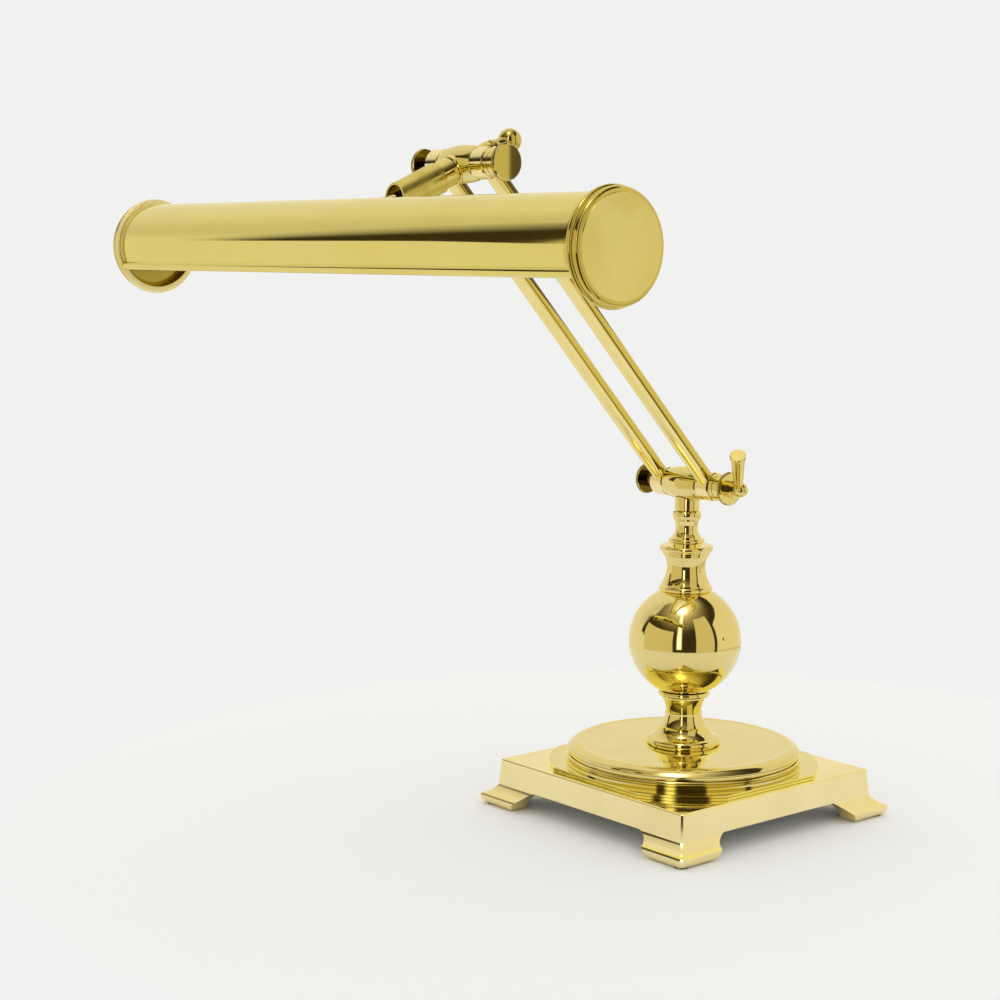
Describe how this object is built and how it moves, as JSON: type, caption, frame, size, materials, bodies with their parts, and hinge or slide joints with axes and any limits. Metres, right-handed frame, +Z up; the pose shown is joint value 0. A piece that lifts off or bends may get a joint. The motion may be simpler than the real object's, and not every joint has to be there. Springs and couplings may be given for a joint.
{
  "type": "piano lamp",
  "caption": "Polished brass piano lamp: footed square base, turned pillar with a ball, twin swing arms with clamp joints and a long half-open tubular shade.",
  "frame": {"origin": "under the middle of the whole lamp's box, on the surface it stands on; the pillar's axis is 93.7 mm behind it along +Y", "axes": "+Z up, X along the shade, -Y the way the arms lean, towards the player"},
  "size_m": [0.4116, 0.3663, 0.4096],
  "materials": {
    "polished_brass": "polished",
    "satin_brass": "satin",
    "zinc_steel": "satin",
    "iron": "matt",
    "black_felt": "matt",
    "black_resin": "matt",
    "lamp_metal": "satin",
    "opal_glass": "frosted"
  },
  "bodies": {
    "base": {"base_casting": "polished_brass", "cord_bush": "black_resin", "ballast": "iron", "bottom_cover": "zinc_steel", "cover_screw_1": "zinc_steel", "cover_screw_2": "zinc_steel", "cover_screw_3": "zinc_steel", "cover_screw_4": "zinc_steel", "foot_pad_1": "black_felt", "foot_pad_2": "black_felt", "foot_pad_3": "black_felt", "foot_pad_4": "black_felt", "clipped_plate": "polished_brass", "plinth": "polished_brass", "pillar_foot": "polished_brass", "pillar_ball": "polished_brass", "pillar_neck": "polished_brass", "swivel_collar": "polished_brass", "stop_screw": "zinc_steel", "tie_rod": "zinc_steel", "tie_rod_nut": "zinc_steel"},
    "column": {"knuckle": "polished_brass"},
    "arm_clamp": {"arm_clamp_screw": "polished_brass", "arm_clamp_lever": "polished_brass"},
    "arms": {"arm_left": "polished_brass", "arm_right": "polished_brass", "elbow_collar_left": "polished_brass", "elbow_collar_right": "polished_brass", "head_collar_left": "polished_brass", "head_collar_right": "polished_brass", "elbow_button": "polished_brass", "head_button": "polished_brass"},
    "head": {"head_body": "polished_brass"},
    "head_clamp": {"head_clamp_wheel": "polished_brass"},
    "tail_nut": {"ball_nut": "polished_brass"},
    "shade": {"stem_collar": "polished_brass", "stem_sleeve": "polished_brass", "stem_nipple": "polished_brass", "stem_lock_nut": "polished_brass", "shade_saddle": "polished_brass", "shade_shell": "satin_brass", "inner_saddle": "polished_brass", "end_cap_left": "satin_brass", "end_cap_right": "satin_brass", "lamp_bracket": "zinc_steel", "bracket_nut": "zinc_steel", "lamp_holder_left": "black_resin", "lamp_holder_right": "black_resin", "holder_nut_left": "zinc_steel", "holder_nut_right": "zinc_steel", "lamp_cap_left": "lamp_metal", "lamp_cap_right": "lamp_metal", "lamp_glass_left": "opal_glass", "lamp_glass_right": "opal_glass"}
  },
  "joints": [
    {"name": "column_swivel", "type": "hinge", "parent": "base", "child": "column", "pos_m": [0, 0.09375, 0.18658], "axis": [0, 0, 1], "range_deg": [-170, 170]},
    {"name": "arm_tilt", "type": "hinge", "parent": "column", "child": "arms", "pos_m": [0, 0.09375, 0.20338], "axis": [1, 0, 0], "range_deg": [-45, 30]},
    {"name": "arm_clamp_turn", "type": "hinge", "parent": "column", "child": "arm_clamp", "pos_m": [0, 0.09375, 0.20338], "axis": [1, 0, 0], "range_deg": [-90, 30]},
    {"name": "head_tilt", "type": "hinge", "parent": "arms", "child": "head", "pos_m": [0, -0.08005, 0.3893], "axis": [1, 0, 0], "range_deg": [-50, 55]},
    {"name": "head_clamp_turn", "type": "hinge", "parent": "head", "child": "head_clamp", "pos_m": [0, -0.08005, 0.3893], "axis": [1, 0, 0], "range_deg": [-90, 90]},
    {"name": "tail_nut_turn", "type": "hinge", "parent": "head", "child": "tail_nut", "pos_m": [0, -0.08005, 0.3893], "axis": [0, 0.9171, 0.3987], "range_deg": [-90, 90]},
    {"name": "shade_swivel", "type": "hinge", "parent": "head", "child": "shade", "pos_m": [0, -0.08005, 0.3893], "axis": [0, -0.9171, -0.3987], "range_deg": [-20, 20]}
  ]
}
